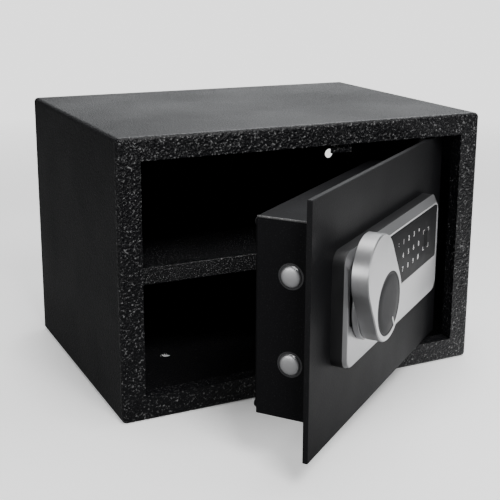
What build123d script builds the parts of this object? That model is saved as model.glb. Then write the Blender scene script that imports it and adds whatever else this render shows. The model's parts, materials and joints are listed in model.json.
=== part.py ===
from build123d import *
import math
import os

# Steel drawer-size safe with an electronic lock, door standing partly open.
# Millimetres. Origin: centre of the cabinet's underside. +Z up, the door faces -Y.
# Door parts are drawn with the door shut, then swung open about the hinge line.

# ---- cabinet ----
WIDTH = 350.0
DEPTH = 250.0
HEIGHT = 240.0
SHEET = 2.0                 # cabinet wall
CORNER_R = 4.0              # long outer corners
FRONT_R = 3.6               # soft front edge
FACE_T = 3.0                # front frame face
SKIRT = 5.0                 # depth of the frame's outer skirt
FRAME_SIDE = 20.0           # frame width beside the doorway
FRAME_TOP = 19.0
FRAME_FOOT = 21.0
RETURN_DEPTH = 14.0         # inner flange, measured from the front face
RETURN_T = 2.0
ANCHOR_D = 10.5
REAR_ANCHOR_X = 159.0
REAR_ANCHOR_Z = 159.0
FLOOR_ANCHOR_X = 90.0
SHELF_TOP = 113.5
SHELF_T = 1.5
SHELF_LIP = 16.0
SHELF_FRONT = -65.0
SHELF_GAP = 0.5
BRACKET = 12.0
BRACKET_T = 1.5

# ---- hinge ----
HINGE_X = 118.0
HINGE_DEPTH = 9.0           # pin centre behind the door's front face
DOOR_ANGLE = 37.5
PIN_D = 6.0
PIN_PLAY = 0.05
LUG = 20.0
LUG_DEPTH = 14.0
LUG_H = 13.0
WASHER_T = 2.25
KNUCKLE_R = 5.0
KNUCKLE_H = 13.0

# ---- door ----
DOOR_GAP = 2.0
PLATE_T = 4.0
BOX_INSET = 20.0            # door box behind the plate's lock edge
BOX_LOW = 45.0
BOX_HIGH = 198.0
BOX_RIGHT = 101.0
BOX_DEPTH = 52.0            # from the door's front face
BOX_T = 1.5
BOX_RIM = 11.0
COVER_T = 1.2

# ---- lock panel on the door's face ----
PANEL_X = -4.0
PANEL_Z = 127.2
PANEL_L = 222.0
PANEL_H = 90.6
PANEL_R = 11.0
PANEL_BASE_T = 9.5
PANEL_T = 13.0
FACE_SHOULDER = 7.0         # sloping top of the silver cover
FACE_SIDE = 1.0
FACE_FOOT = 1.0
WINDOW_T = 0.8
WINDOW_FOOT = 115.3
WINDOW_RIM_TOP = 2.2
WINDOW_RIM_SIDE = 4.6
KEY_PITCH_X = 13.7
KEY_PITCH_Z = 11.85
KEY_FIRST_X = 8.5
KEY_FIRST_Z = 151.3
STATUS_X = 70.0
STATUS_Z = 138.7
STATUS_W = 16.0
STATUS_H = 18.0

# ---- knob ----
KNOB_X = -79.0
KNOB_Z = 128.0
KNOB_FRONT = 32.0           # front of the knob, out from the door's face
KNOB_T = 13.6
KNOB_END_R = 29.0
KNOB_LOBE_R = 28.0
KNOB_LOBE_AT = 35.0
KNOB_TILT = 32.0            # lobe leans left of upright when the bolts are back
COLLAR_GAP = 0.3
CAP_D = 49.0
CAP_T = 2.0
POINTER_L = 8.0
POINTER_W = 1.8
SPINDLE_D = 10.0
CYLINDER_D = 16.0

# ---- bolt work ----
BOLT_D = 17.0
BOLT_Z = (156.0, 88.5)
BOLT_DEPTH = 24.2
BOLT_PROUD = 2.0
BOLT_L = 47.0
BOLT_TRAVEL = 28.0
CRANK_R = 28.0
CRANK_SWING = 60.0
CRANK_PIN_D = 8.0
CARRIAGE_T = 2.0
CARRIAGE_LOW = 76.0
CARRIAGE_HIGH = 168.0
STUD_D = 6.0
STUD_X = -75.0
STUD_Z = 152.0

# ---- lock electrics inside the door box ----
PLUNGER_X = -54.0
PLUNGER_D = 6.0
PLUNGER_TRAVEL = 6.0
PLUNGER_TOP = 75.0
SPRING_WIRE = 0.6
COIL_TOP = 66.0
CELL_D = 14.2
CELL_L = 50.0
CELL_PITCH = 15.0
CELLS = 4
TRAY_X = 20.0
TRAY_Z = 92.0
LID_PIN_X = 16.5             # hinge line of the battery lid
LID_PIN_Y = 55.2             # measured in from the door's front face
LID_BARREL_D = 3.6
LID_PIN_D = 1.8
LEAD_D = 1.6

# ---- values that follow from the ones above ----
FRONT = -DEPTH / 2
DOORWAY_X = WIDTH / 2 - FRAME_SIDE
DOORWAY_LOW = FRAME_FOOT
DOORWAY_HIGH = HEIGHT - FRAME_TOP
PLATE_X = DOORWAY_X - DOOR_GAP
PLATE_LOW = DOORWAY_LOW + DOOR_GAP
PLATE_HIGH = DOORWAY_HIGH - DOOR_GAP
PLATE_BACK = FRONT + PLATE_T
HINGE_Y = FRONT + HINGE_DEPTH
BOX_LEFT = -PLATE_X + BOX_INSET
BOX_BACK = FRONT + BOX_DEPTH
BOLT_Y = FRONT + BOLT_DEPTH
PANEL_FACE = FRONT - PANEL_T
KNOB_FACE = FRONT - KNOB_FRONT
KNOB_BACK = KNOB_FACE + KNOB_T
SPINDLE_END = FRONT + 11.0
CARRIAGE_Y = BOLT_Y - BOLT_D / 2 - 2.8
BOLT_INNER = BOX_LEFT - BOLT_PROUD + BOLT_L
TRAY_BACK = BOX_BACK
TRAY_FRONT = BOX_BACK - 19.0
TRAY_L = CELL_L + 14.0
TRAY_H = CELLS * CELL_PITCH + 4.0


# ---- drawing helpers ----
def block(x0, x1, y0, y1, z0, z1):
    """A box between two corners."""
    centre = Pos((x0 + x1) / 2, (y0 + y1) / 2, (z0 + z1) / 2)
    return centre * Box(x1 - x0, y1 - y0, z1 - z0)


def rod(axis, a, b, start, end, d):
    """A round bar along axis; a and b are its other two coordinates, in X, Y, Z order."""
    r = d / 2
    bar = Cylinder(r, end - start, align=(Align.CENTER, Align.CENTER, Align.MIN))
    if axis == "x":
        return Pos(start, a, b) * Rot(0, 90, 0) * bar
    if axis == "y":
        return Pos(a, start, b) * Rot(-90, 0, 0) * bar
    return Pos(a, b, start) * bar


def facing(x, y, z):
    """A drawing plane parallel to the door, looking out of it."""
    return Plane(origin=(x, y, z), x_dir=(1, 0, 0), z_dir=(0, -1, 0))


def slab(sketch, x, z, back, front):
    """Sketch extruded from depth back to depth front, centred at x, z."""
    return extrude(facing(x, back, z) * sketch, amount=back - front)


def group(solids):
    """Separate solids kept side by side in one node."""
    return Compound(children=list(solids))


# ---- cabinet ----
def cabinet_shell():
    """Top, sides and floor, wrapped from one sheet."""
    outer = block(-WIDTH / 2, WIDTH / 2, FRONT + SKIRT, DEPTH / 2, 0, HEIGHT)
    outer = fillet(outer.edges().filter_by(Axis.Y), CORNER_R)
    inner = block(
        -WIDTH / 2 + SHEET, WIDTH / 2 - SHEET, FRONT, DEPTH / 2 + 1, SHEET, HEIGHT - SHEET
    )
    shell = outer - inner
    for x in (-FLOOR_ANCHOR_X, FLOOR_ANCHOR_X):
        shell -= rod("z", x, 0, -1, SHEET + 1, ANCHOR_D)
    return shell


def front_frame():
    """Face, outer skirt, inner return flange and the two tabs the shut door rests on."""
    frame = block(-WIDTH / 2, WIDTH / 2, FRONT, FRONT + SKIRT, 0, HEIGHT)
    frame = fillet(frame.edges().filter_by(Axis.Y), CORNER_R)
    frame = fillet(frame.faces().sort_by(Axis.Y)[0].edges(), FRONT_R)
    frame -= block(
        -WIDTH / 2 + SHEET, WIDTH / 2 - SHEET,
        FRONT + FACE_T, FRONT + SKIRT + 1,
        SHEET, HEIGHT - SHEET,
    )
    frame += block(
        -DOORWAY_X - RETURN_T, DOORWAY_X + RETURN_T,
        FRONT + FACE_T, FRONT + RETURN_DEPTH,
        DOORWAY_LOW - RETURN_T, DOORWAY_HIGH + RETURN_T,
    )
    doorway = block(
        -DOORWAY_X, DOORWAY_X, FRONT - 1, FRONT + RETURN_DEPTH + 1, DOORWAY_LOW, DOORWAY_HIGH
    )
    frame -= doorway
    stop = PLATE_BACK + 0.4
    frame += block(20, 40, stop, stop + 2, DOORWAY_HIGH - 8, DOORWAY_HIGH)
    frame += block(20, 40, stop, stop + 2, DOORWAY_LOW, DOORWAY_LOW + 8)
    for z in (DOORWAY_LOW - RETURN_T - 1, DOORWAY_HIGH - 1):
        frame -= rod("z", HINGE_X, HINGE_Y, z, z + RETURN_T + 2, PIN_D)
    return frame


def back_panel():
    """Rear wall, with the holes that bolt the safe to a wall."""
    panel = block(
        -WIDTH / 2 + SHEET, WIDTH / 2 - SHEET, DEPTH / 2 - SHEET, DEPTH / 2, SHEET, HEIGHT - SHEET
    )
    for x in (-REAR_ANCHOR_X, REAR_ANCHOR_X):
        panel -= rod("y", x, REAR_ANCHOR_Z, DEPTH / 2 - SHEET - 1, DEPTH / 2 + 1, ANCHOR_D)
    return panel


def shelf():
    """Lift-out shelf with a folded lip along its front and back."""
    half = WIDTH / 2 - SHEET - SHELF_GAP
    back = DEPTH / 2 - SHEET - SHELF_GAP
    low = SHELF_TOP - SHELF_LIP
    tray = block(-half, half, SHELF_FRONT, back, SHELF_TOP - SHELF_T, SHELF_TOP)
    tray += block(-half, half, SHELF_FRONT, SHELF_FRONT + SHELF_T, low, SHELF_TOP)
    tray += block(-half, half, SHELF_FRONT, SHELF_FRONT + 8, low, low + SHELF_T)
    tray = fillet(tray.edges().filter_by(Axis.X).group_by(Axis.Y)[0], SHELF_T - 0.3)
    return tray


def shelf_bracket(side):
    """Angle strip on the side wall that carries one end of the shelf."""
    wall = side * (WIDTH / 2 - SHEET)
    top = SHELF_TOP - SHELF_T
    y0 = SHELF_FRONT + 12
    y1 = DEPTH / 2 - SHEET - 4
    inner = wall - side * BRACKET
    face = wall - side * BRACKET_T
    ledge = block(min(wall, inner), max(wall, inner), y0, y1, top - BRACKET_T, top)
    return ledge + block(min(wall, face), max(wall, face), y0, y1, top - BRACKET, top)


def hinge_lug(z0):
    """Block behind the frame that holds a hinge pin."""
    lug = block(
        HINGE_X - LUG / 2, HINGE_X + LUG / 2,
        FRONT + FACE_T, FRONT + FACE_T + LUG_DEPTH,
        z0, z0 + LUG_H,
    )
    return lug - rod("z", HINGE_X, HINGE_Y, z0 - 1, z0 + LUG_H + 1, PIN_D)


def hinge_pin(z0, z1):
    """Plain pin pressed into its lug."""
    pin = rod("z", HINGE_X, HINGE_Y, z0, z1, PIN_D)
    return chamfer(pin.edges().filter_by(GeomType.CIRCLE), 0.6)


def hinge_washer():
    """Thrust washer under the lower knuckle."""
    ring = rod("z", HINGE_X, HINGE_Y, DOORWAY_LOW, DOORWAY_LOW + WASHER_T, 9.4)
    return ring - rod("z", HINGE_X, HINGE_Y, DOORWAY_LOW - 1, DOORWAY_LOW + 3, PIN_D)


# ---- door ----
def knuckle(z0):
    """Hinge eye welded to the back of the door plate."""
    eye = rod("z", HINGE_X, HINGE_Y, z0, z0 + KNUCKLE_H, 2 * KNUCKLE_R)
    eye += block(
        HINGE_X - KNUCKLE_R, HINGE_X + KNUCKLE_R, PLATE_BACK, HINGE_Y, z0, z0 + KNUCKLE_H
    )
    bore = PIN_D + 2 * PIN_PLAY
    return eye - rod("z", HINGE_X, HINGE_Y, z0 - 1, z0 + KNUCKLE_H + 1, bore)


def door_plate():
    """Front plate of the door, filling the doorway."""
    plate = block(-PLATE_X, PLATE_X, FRONT, PLATE_BACK, PLATE_LOW, PLATE_HIGH)
    plate = fillet(plate.edges().filter_by(Axis.Y), 1.0)
    plate = chamfer(plate.faces().sort_by(Axis.Y)[0].edges(), 0.5)
    plate -= rod("y", KNOB_X, KNOB_Z, FRONT - 1, PLATE_BACK + 1, 16.0)
    plate -= block(25, 41, FRONT - 1, PLATE_BACK + 1, 128, 134)
    for x, z in panel_screw_places():
        plate -= rod("y", x, z, FRONT - 1, PLATE_BACK + 1, 4.4)
    return plate


def door_box():
    """Folded box behind the plate that holds the bolt work."""
    box = block(BOX_LEFT, BOX_RIGHT, PLATE_BACK, BOX_BACK, BOX_LOW, BOX_HIGH)
    box = fillet(box.faces().sort_by(Axis.Y)[-1].edges(), 1.2)
    box -= block(
        BOX_LEFT + BOX_T, BOX_RIGHT - BOX_T,
        PLATE_BACK - 1, BOX_BACK - BOX_T,
        BOX_LOW + BOX_T, BOX_HIGH - BOX_T,
    )
    box -= block(
        BOX_LEFT + BOX_RIM, BOX_RIGHT - BOX_RIM,
        BOX_BACK - BOX_T - 1, BOX_BACK + 1,
        BOX_LOW + BOX_RIM, BOX_HIGH - BOX_RIM,
    )
    for z in BOLT_Z:
        box -= rod("x", BOLT_Y, z, BOX_LEFT - 1, BOX_LEFT + BOX_T + 1, BOLT_D + 3)
    for x, z in cover_screw_places():
        box -= rod("y", x, z, BOX_BACK - BOX_T - 1, BOX_BACK + 1, 3.2)
    return box


def cover_screw_places():
    """Six screws round the rim of the door box."""
    x0 = BOX_LEFT + BOX_RIM / 2
    x1 = BOX_RIGHT - BOX_RIM / 2
    z0 = BOX_LOW + BOX_RIM / 2
    z1 = BOX_HIGH - BOX_RIM / 2
    return [(x, z) for x in (x0, (x0 + x1) / 2, x1) for z in (z0, z1)]


def back_cover():
    """Inner cover of the door, with openings for the battery lid and the reset button."""
    cover = block(
        BOX_LEFT + 2, BOX_RIGHT - 2, BOX_BACK, BOX_BACK + COVER_T, BOX_LOW + 2, BOX_HIGH - 2
    )
    cover = fillet(cover.edges().filter_by(Axis.Y), 3.0)
    cover -= block(
        TRAY_X - 1, TRAY_X + TRAY_L + 1, BOX_BACK - 1, BOX_BACK + 3, TRAY_Z - 1, TRAY_Z + TRAY_H + 1
    )
    cover -= rod("y", -20, 100, BOX_BACK - 1, BOX_BACK + 3, 8.0)
    for x, z in cover_screw_places():
        cover -= rod("y", x, z, BOX_BACK - 1, BOX_BACK + 3, 3.2)
    for z in (TRAY_Z + 2, TRAY_Z + TRAY_H - 4):
        cover += lid_eye(z)
    return cover


def lid_eye(z0):
    """Eye on the cover that holds one end of the battery lid's hinge."""
    y = FRONT + LID_PIN_Y
    r = LID_BARREL_D / 2
    eye = rod("z", LID_PIN_X, y, z0, z0 + 2, LID_BARREL_D)
    eye += block(LID_PIN_X - r, LID_PIN_X + r, BOX_BACK + COVER_T, y, z0, z0 + 2)
    return eye - rod("z", LID_PIN_X, y, z0 - 1, z0 + 3, LID_PIN_D + 0.1)


def cover_screws():
    """Pan-head screws of the inner cover."""
    screws = []
    for x, z in cover_screw_places():
        back = BOX_BACK + COVER_T
        head = rod("y", x, z, back, back + 1.8, 6.0)
        head = fillet(head.edges().group_by(Axis.Y)[-1], 0.9)
        head -= block(x - 2, x + 2, back + 1.0, back + 3, z - 0.4, z + 0.4)
        head -= block(x - 0.4, x + 0.4, back + 1.0, back + 3, z - 2, z + 2)
        screws.append(head + rod("y", x, z, BOX_BACK - 7, back, 3.0))
    return group(screws)


def bolt_bush(z):
    """Guide bush of one locking bolt, seated in the box wall."""
    bush = rod("x", BOLT_Y, z, BOX_LEFT, BOX_LEFT + 12, BOLT_D + 3)
    bush += rod("x", BOLT_Y, z, BOX_LEFT + BOX_T, BOX_LEFT + BOX_T + 2, BOLT_D + 7)
    return bush - rod("x", BOLT_Y, z, BOX_LEFT - 1, BOX_LEFT + 13, BOLT_D + 0.12)


# ---- lock panel ----
def panel_screw_places():
    """Four fixings that hold the lock panel to the door."""
    return [(x, z) for x in (-103.0, 95.0) for z in (92.0, 163.0)]


def panel_base():
    """Black moulded base of the lock panel, hollow at the back."""
    back = FRONT
    front = FRONT - PANEL_BASE_T
    wall = 2.5
    base = slab(RectangleRounded(PANEL_L, PANEL_H, PANEL_R), PANEL_X, PANEL_Z, back, front)
    inside = RectangleRounded(PANEL_L - 2 * wall, PANEL_H - 2 * wall, PANEL_R - wall)
    base -= slab(inside, PANEL_X, PANEL_Z, back + 1, front + 2.0)
    base += rod("y", KNOB_X, KNOB_Z, front, back, 24.0)
    for x, z in panel_screw_places():
        base += rod("y", x, z, front, back, 8.0)
        base -= rod("y", x, z, front + 2.0, back + 1, 3.2)
    base -= rod("y", KNOB_X, KNOB_Z, front - 1, back + 1, 16.0)
    base -= block(25, 41, front - 1, front + 3, 128, 134)
    return base


def panel_cover():
    """Silver cover with a sloping top shoulder and a sunk field for the keypad."""
    back = FRONT - PANEL_BASE_T
    foot = facing(PANEL_X, back, PANEL_Z) * RectangleRounded(PANEL_L, PANEL_H, PANEL_R)
    face_h = PANEL_H - FACE_SHOULDER - FACE_FOOT
    face_z = PANEL_Z - (FACE_SHOULDER - FACE_FOOT) / 2
    face = RectangleRounded(PANEL_L - 2 * FACE_SIDE, face_h, PANEL_R - FACE_SIDE)
    cover = loft([foot, facing(PANEL_X, PANEL_FACE, face_z) * face])
    cover -= slab(window_outline(0.1), 0, 0, PANEL_FACE + WINDOW_T, PANEL_FACE - 1)
    cover -= rod("y", KNOB_X, KNOB_Z, PANEL_FACE - 1, back + 1, 16.0)
    cover -= block(25, 41, PANEL_FACE - 1, back + 1, 128, 134)
    return cover


def window_outline(grow):
    """Outline of the black keypad field, in door coordinates."""
    high = PANEL_Z + PANEL_H / 2 - FACE_SHOULDER - WINDOW_RIM_TOP + grow
    low = WINDOW_FOOT - grow
    side = PANEL_L / 2 - FACE_SIDE - WINDOW_RIM_SIDE + grow
    outline = RectangleRounded(2 * side, high - low, 5.0)
    return Pos(PANEL_X, (high + low) / 2) * outline


def keypad_window():
    """Gloss black touch field over the keypad, open round the knob spindle."""
    sheet = slab(window_outline(0.0), 0, 0, PANEL_FACE + WINDOW_T, PANEL_FACE)
    return sheet - rod("y", KNOB_X, KNOB_Z, PANEL_FACE - 1, PANEL_FACE + 2, 30.0)


def key_marks():
    """Printed touch marks: three rows of four, and one status dot."""
    marks = []
    for row in range(3):
        for column in range(4):
            x = KEY_FIRST_X + column * KEY_PITCH_X
            z = KEY_FIRST_Z - row * KEY_PITCH_Z
            marks.append(rod("y", x, z, PANEL_FACE - 0.15, PANEL_FACE, 4.6))
    x = KEY_FIRST_X - 12.1
    marks.append(rod("y", x, KEY_FIRST_Z, PANEL_FACE - 0.15, PANEL_FACE, 3.0))
    return group(marks)


def status_window():
    """Small raised frame round the status lamp."""
    front = PANEL_FACE - 0.3
    outer = slab(RectangleRounded(STATUS_W, STATUS_H, 2), STATUS_X, STATUS_Z, PANEL_FACE, front)
    return outer - slab(
        RectangleRounded(STATUS_W - 2.4, STATUS_H - 2.4, 1), STATUS_X, STATUS_Z,
        PANEL_FACE + 1, front - 1,
    )


def keypad_board():
    """Touch board inside the panel base."""
    y0 = FRONT - 5.0
    return block(-30, 80, y0 - 1.6, y0, 104, 160) - block(24, 42, y0 - 3, y0 + 1, 127, 135)


def panel_screws():
    """Screws driven through the door plate into the panel base."""
    screws = []
    for x, z in panel_screw_places():
        head = rod("y", x, z, PLATE_BACK, PLATE_BACK + 2.2, 7.0)
        head = fillet(head.edges().group_by(Axis.Y)[-1], 1.0)
        screws.append(head + rod("y", x, z, FRONT - 7.0, PLATE_BACK, 3.2))
    return group(screws)


# ---- knob ----
def tilted(part, degrees=KNOB_TILT):
    """Turns a knob part from upright to its place, leaning towards the lock edge."""
    return part.rotate(Axis((KNOB_X, 0, KNOB_Z), (0, -1, 0)), degrees)


def knob_outline(inset):
    """Egg outline: a round end on the spindle and a slightly smaller lobe above it."""
    end = Circle(KNOB_END_R - inset)
    lobe = Pos(0, KNOB_LOBE_AT) * Circle(KNOB_LOBE_R - inset)
    return make_hull(end.edges() + lobe.edges())


def knob_body():
    """The knob's grip, with a shallow seat for its cap and a bore for the key cylinder."""
    grip = slab(knob_outline(0.0), KNOB_X, KNOB_Z, KNOB_BACK, KNOB_FACE)
    rims = grip.edges().filter_by(Plane.XZ)
    grip = chamfer(rims, 0.8)
    grip -= rod("y", KNOB_X, KNOB_Z, KNOB_FACE - 1, KNOB_FACE + CAP_T + 0.1, CAP_D + 0.2)
    grip -= rod("y", KNOB_X, KNOB_Z, KNOB_FACE, KNOB_BACK + 1, CYLINDER_D + 0.1)
    return tilted(grip)


def knob_collar():
    """Round skirt that carries the grip clear of the panel."""
    y1 = PANEL_FACE - COLLAR_GAP
    ring = rod("y", KNOB_X, KNOB_Z, KNOB_BACK, y1, 2 * (KNOB_END_R + 1.0))
    ring -= rod("y", KNOB_X, KNOB_Z, y1 - 4.0, y1 + 1, 2 * KNOB_END_R - 6.0)
    return ring - rod("y", KNOB_X, KNOB_Z, KNOB_BACK - 1, y1 + 1, CYLINDER_D + 0.1)


def knob_cap():
    """Dark snap-in cap over the key cylinder, notched for the pointer."""
    cap = rod("y", KNOB_X, KNOB_Z, KNOB_FACE - 0.1, KNOB_FACE + CAP_T, CAP_D)
    cap = fillet(cap.edges().group_by(Axis.Y)[0], 0.4)
    return tilted(cap - pointer_bar(0.05))


def pointer_bar(grow):
    """Pointer set in the cap's edge, opposite the lobe."""
    z1 = KNOB_Z - CAP_D / 2 + POINTER_L
    half = POINTER_W / 2 + grow
    low = KNOB_Z - CAP_D / 2 + 0.4 - grow
    y0 = KNOB_FACE - 0.3 - 2 * grow
    return block(KNOB_X - half, KNOB_X + half, y0, KNOB_FACE + 0.9 + grow, low, z1 + grow)


def spindle():
    """Hollow spindle from the collar to the crank lever."""
    hub = rod("y", KNOB_X, KNOB_Z, PANEL_FACE - 4.3, PANEL_FACE - 2.0, 22.0)
    shaft = rod("y", KNOB_X, KNOB_Z, PANEL_FACE - 2.0, SPINDLE_END, SPINDLE_D)
    shaft += hub
    return shaft - rod("y", KNOB_X, KNOB_Z, KNOB_BACK, SPINDLE_END + 1, 4.8)


def spindle_bush():
    """Flanged bush that carries the spindle in the panel and the door plate."""
    bush = rod("y", KNOB_X, KNOB_Z, PANEL_FACE + 1.0, PLATE_BACK, 15.9)
    bush += rod("y", KNOB_X, KNOB_Z, PLATE_BACK, PLATE_BACK + 1.5, 21.0)
    return bush - rod("y", KNOB_X, KNOB_Z, PANEL_FACE, PLATE_BACK + 2, SPINDLE_D + 0.1)


def crank_lever():
    """Lever on the spindle's inner end; its pin drives the bolt carriage."""
    y0 = PLATE_BACK + 2.0
    y1 = y0 + 4.0
    arm = make_hull(Circle(10).edges() + (Pos(0, -CRANK_R) * Circle(6.5)).edges())
    lever = slab(arm, KNOB_X, KNOB_Z, y1, y0)
    lever -= rod("y", KNOB_X, KNOB_Z, y0 - 1, y1 + 1, SPINDLE_D)
    lever -= rod("y", KNOB_X, KNOB_Z - CRANK_R, y0 - 1, y1 + 1, 5.0)
    return tilted(lever, CRANK_SWING / 2)


def crank_pin():
    """Shouldered pin riveted in the lever."""
    y0 = PLATE_BACK + 2.0
    z = KNOB_Z - CRANK_R
    pin = rod("y", KNOB_X, z, y0, y0 + 4.0, 5.0)
    pin += rod("y", KNOB_X, z, y0 + 4.0, CARRIAGE_Y + CARRIAGE_T + 2.0, CRANK_PIN_D)
    return tilted(pin, CRANK_SWING / 2)


def spindle_clip():
    """Retaining ring that keeps the lever on the spindle."""
    y0 = PLATE_BACK + 6.0
    ring = rod("y", KNOB_X, KNOB_Z, y0, y0 + 1.0, 14.0)
    return ring - rod("y", KNOB_X, KNOB_Z, y0 - 1, y0 + 2, SPINDLE_D)


def key_cylinder():
    """Emergency key cylinder under the cap, with its keyway and tail rod."""
    y0 = KNOB_FACE + CAP_T + 0.6
    y1 = PANEL_FACE - 4.5
    barrel = rod("y", KNOB_X, KNOB_Z, y0, y1, CYLINDER_D)
    barrel = chamfer(barrel.edges().group_by(Axis.Y)[0], 0.5)
    barrel += rod("y", KNOB_X, KNOB_Z, y1, SPINDLE_END + 0.5, 4.6)
    return barrel - block(KNOB_X - 1, KNOB_X + 1, y0 - 1, y0 + 8, KNOB_Z - 4, KNOB_Z + 4)


# ---- bolt work ----
def locking_bolt(z):
    """Round steel bolt with a bevelled nose."""
    nose = BOX_LEFT - BOLT_PROUD
    bolt = rod("x", BOLT_Y, z, nose, nose + BOLT_L, BOLT_D)
    bolt = chamfer(bolt.edges().group_by(Axis.X)[0], 1.4)
    return bolt - rod("x", BOLT_Y, z, nose + BOLT_L - 12, nose + BOLT_L + 1, 5.0)


def bolt_screws():
    """Screws that hold the bolts to the carriage."""
    screws = []
    for z in BOLT_Z:
        x = BOLT_INNER + CARRIAGE_T
        head = rod("x", BOLT_Y, z, x, x + 3, 9.0)
        screws.append(head + rod("x", BOLT_Y, z, BOLT_INNER - 10, x, 5.0))
    return group(screws)


def bolt_carriage():
    """Folded carriage: a web that carries the bolts and a slotted slide plate."""
    x0 = BOLT_INNER
    x1 = PLUNGER_X - PLUNGER_D / 2 - 1.3 + BOLT_TRAVEL
    y1 = CARRIAGE_Y + CARRIAGE_T
    carriage = block(x0, x0 + CARRIAGE_T, CARRIAGE_Y, BOLT_Y + 9, CARRIAGE_LOW, CARRIAGE_HIGH)
    carriage += block(x0, x1, CARRIAGE_Y, y1, CARRIAGE_LOW, CARRIAGE_HIGH)
    for z in BOLT_Z:
        carriage -= rod("x", BOLT_Y, z, x0 - 1, x0 + 3, 5.2)
    guide = SlotCenterToCenter(BOLT_TRAVEL, STUD_D + 0.6)
    carriage -= slab(guide, STUD_X + BOLT_TRAVEL / 2, STUD_Z, y1 + 1, CARRIAGE_Y - 1)
    half = math.radians(CRANK_SWING / 2)
    pin_x = KNOB_X + CRANK_R * math.sin(half)
    pin_z = KNOB_Z - CRANK_R * (1 + math.cos(half)) / 2
    slot = Rot(0, 0, 90) * SlotOverall(CRANK_PIN_D + 6.0, CRANK_PIN_D + 0.9)
    carriage -= slab(slot, pin_x, pin_z, y1 + 1, CARRIAGE_Y - 1)
    notch = PLUNGER_D / 2 + 3.0
    return carriage - block(
        PLUNGER_X - notch, PLUNGER_X + notch, CARRIAGE_Y - 1, y1 + 1,
        CARRIAGE_LOW - 1, CARRIAGE_LOW + PLUNGER_TRAVEL + 0.5,
    )


def carriage_stud():
    """Shouldered stud that guides the top of the carriage."""
    stud = rod("y", STUD_X, STUD_Z, PLATE_BACK, CARRIAGE_Y + CARRIAGE_T + 3, STUD_D)
    return stud + rod("y", STUD_X, STUD_Z, PLATE_BACK, CARRIAGE_Y - 0.6, STUD_D + 4)


def stud_ring():
    """Retaining ring on the carriage stud."""
    y0 = CARRIAGE_Y + CARRIAGE_T + 0.8
    ring = rod("y", STUD_X, STUD_Z, y0, y0 + 1, STUD_D + 5)
    return ring - rod("y", STUD_X, STUD_Z, y0 - 1, y0 + 2, STUD_D)


# ---- lock electrics ----
def plunger_y():
    return CARRIAGE_Y + CARRIAGE_T / 2


def solenoid_frame():
    """Bent steel yoke of the lock solenoid, standing on the box floor."""
    y = plunger_y()
    low = BOX_LOW + BOX_T
    yoke = block(PLUNGER_X - 13, PLUNGER_X + 13, y - 8, y + 8, low, COIL_TOP)
    yoke -= block(PLUNGER_X - 11.5, PLUNGER_X + 14, y - 9, y + 9, low + 1.5, COIL_TOP - 1.5)
    return yoke - rod("z", PLUNGER_X, y, low + 1, COIL_TOP + 1, PLUNGER_D + 0.6)


def solenoid_coil():
    """Wound bobbin of the solenoid."""
    y = plunger_y()
    low = BOX_LOW + BOX_T + 1.5
    high = COIL_TOP - 1.5
    coil = rod("z", PLUNGER_X, y, low, high, 14.0)
    for z in (low, high - 1.2):
        coil += rod("z", PLUNGER_X, y, z, z + 1.2, 16.0)
    return coil - rod("z", PLUNGER_X, y, low - 1, COIL_TOP, PLUNGER_D + 0.6)


def solenoid_plunger():
    """Plunger that rises behind the carriage to lock it."""
    y = plunger_y()
    pin = rod("z", PLUNGER_X, y, PLUNGER_TOP - 26, PLUNGER_TOP, PLUNGER_D)
    pin = chamfer(pin.edges().group_by(Axis.Z)[-1], 0.8)
    return pin + rod("z", PLUNGER_X, y, PLUNGER_TOP - 1.8, PLUNGER_TOP - 1.0, PLUNGER_D + 1.8)


def plunger_spring():
    """Coil spring that lifts the plunger by its collar."""
    low = COIL_TOP + SPRING_WIRE / 2
    height = PLUNGER_TOP - 1.8 - COIL_TOP - SPRING_WIRE
    radius = PLUNGER_D / 2 + 0.5
    path = Helix(pitch=height / 4.5, height=height, radius=radius)
    section = Plane(origin=path @ 0, z_dir=path % 0) * Circle(SPRING_WIRE / 2)
    return Pos(PLUNGER_X, plunger_y(), low) * sweep(section, path=path)


def battery_tray():
    """Open plastic tray for the four cells."""
    tray = block(TRAY_X, TRAY_X + TRAY_L, TRAY_FRONT, TRAY_BACK, TRAY_Z, TRAY_Z + TRAY_H)
    tray -= block(
        TRAY_X + 1.5, TRAY_X + TRAY_L - 1.5, TRAY_FRONT + 1.5, TRAY_BACK + 1,
        TRAY_Z + 1.5, TRAY_Z + TRAY_H - 1.5,
    )
    flange = block(
        TRAY_X - 3, TRAY_X + TRAY_L + 3, TRAY_BACK - 1.2, TRAY_BACK, TRAY_Z - 3, TRAY_Z + TRAY_H + 3
    )
    return tray + (flange - block(
        TRAY_X, TRAY_X + TRAY_L, TRAY_BACK - 2, TRAY_BACK + 1, TRAY_Z, TRAY_Z + TRAY_H
    ))


def cell_places():
    """Height of each cell's axis."""
    first = TRAY_Z + TRAY_H / 2 - (CELLS - 1) * CELL_PITCH / 2
    return [first + i * CELL_PITCH for i in range(CELLS)]


def battery_cells():
    """Four AA cells, turned end for end in turn."""
    cells = []
    y = TRAY_FRONT + 1.6 + CELL_D / 2
    x0 = TRAY_X + (TRAY_L - CELL_L) / 2
    for i, z in enumerate(cell_places()):
        can = rod("x", y, z, x0, x0 + CELL_L - 1.2, CELL_D)
        can = fillet(can.edges().filter_by(GeomType.CIRCLE), 0.7)
        cell = can + rod("x", y, z, x0 + CELL_L - 1.2, x0 + CELL_L, 5.2)
        if i % 2:
            cell = cell.rotate(Axis((x0 + CELL_L / 2, y, z), (0, 0, 1)), 180)
        cells.append(cell)
    return group(cells)


def battery_contacts():
    """Sprung end plates of the tray."""
    y0 = TRAY_FRONT + 3
    plates = []
    for z in cell_places():
        for x in (TRAY_X + 1.5, TRAY_X + TRAY_L - 2.0):
            plates.append(block(x, x + 0.5, y0, y0 + 11, z - 5, z + 5))
    return group(plates)


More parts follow.
